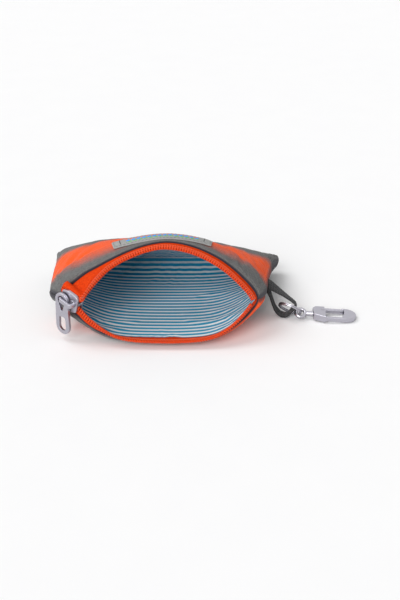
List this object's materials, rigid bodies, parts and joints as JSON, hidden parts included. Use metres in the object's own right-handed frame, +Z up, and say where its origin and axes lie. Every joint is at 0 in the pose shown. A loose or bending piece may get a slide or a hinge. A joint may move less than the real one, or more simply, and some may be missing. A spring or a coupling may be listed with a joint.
{
  "type": "zip-top coin pouch",
  "caption": "Soft padded zip-top pouch lying with its mouth open, with a striped lining, a woven label on the rim and a swivel gate hook on a webbing loop.",
  "frame": {"origin": "centre of the flat patch of the underside that the pouch rests on", "axes": "+X along the mouth towards the hook, +Y from the mouth to the bottom fold, +Z up"},
  "size_m": [0.1636, 0.0937, 0.0514],
  "materials": {
    "knit": "dark grey padded knit with soft orange bands",
    "lining": "smooth woven lining, blue and white stripes",
    "tape": "orange woven zip tape",
    "coil": "orange nylon coil",
    "label": "grey woven label",
    "webbing": "black ribbed webbing",
    "cast": "satin nickel on a zinc casting",
    "wire": "satin nickel"
  },
  "bodies": {
    "pouch": {"upper_panel": "knit", "lower_panel": "knit", "upper_lining": "lining", "lower_lining": "lining", "upper_tape": "tape", "lower_tape": "tape", "upper_coil": "coil", "lower_coil": "coil", "label_patch": "label", "webbing_loop": "webbing"},
    "slider": {"slider_body": "cast", "slider_bridge": "cast"},
    "pull": {"pull_tab": "cast"},
    "ring": {"split_ring": "wire"},
    "eye": {"swivel_eye": "wire", "swivel_head": "wire"},
    "hook": {"hook_body": "cast", "gate_pin": "wire", "gate_spring": "wire"},
    "gate": {"hook_gate": "cast"}
  },
  "joints": [
    {"name": "slider_slide", "type": "slide", "parent": "pouch", "child": "slider", "axis": [-0.7364, 0.6179, 0.2756], "range_m": [0, 0.0015]},
    {"name": "pull_swing", "type": "hinge", "parent": "slider", "child": "pull", "pos_m": [-0.05187, -0.03351, 0.02342], "axis": [-0.6428, -0.766, 0], "range_deg": [-55, 20]},
    {"name": "ring_swing", "type": "hinge", "parent": "pouch", "child": "ring", "pos_m": [0.0657, -0.0091, 0.0051], "axis": [0, -1, 0], "range_deg": [0, 10]},
    {"name": "eye_swing", "type": "hinge", "parent": "ring", "child": "eye", "pos_m": [0.0699, -0.0095, 0.0032], "axis": [0.082, -0.7819, 0.6179], "range_deg": [-5, 25]},
    {"name": "hook_swivel", "type": "hinge", "parent": "eye", "child": "hook", "pos_m": [0.0765, -0.0095, 0.00275], "axis": [0.9976, 0, -0.0698], "continuous": true},
    {"name": "gate_open", "type": "hinge", "parent": "hook", "child": "gate", "pos_m": [0.08149, -0.0071, 0.0024], "axis": [-0.0698, 0, -0.9976], "range_deg": [0, 22], "stiffness_Nm_per_rad": 0.002, "springref_deg": -11.46}
  ]
}
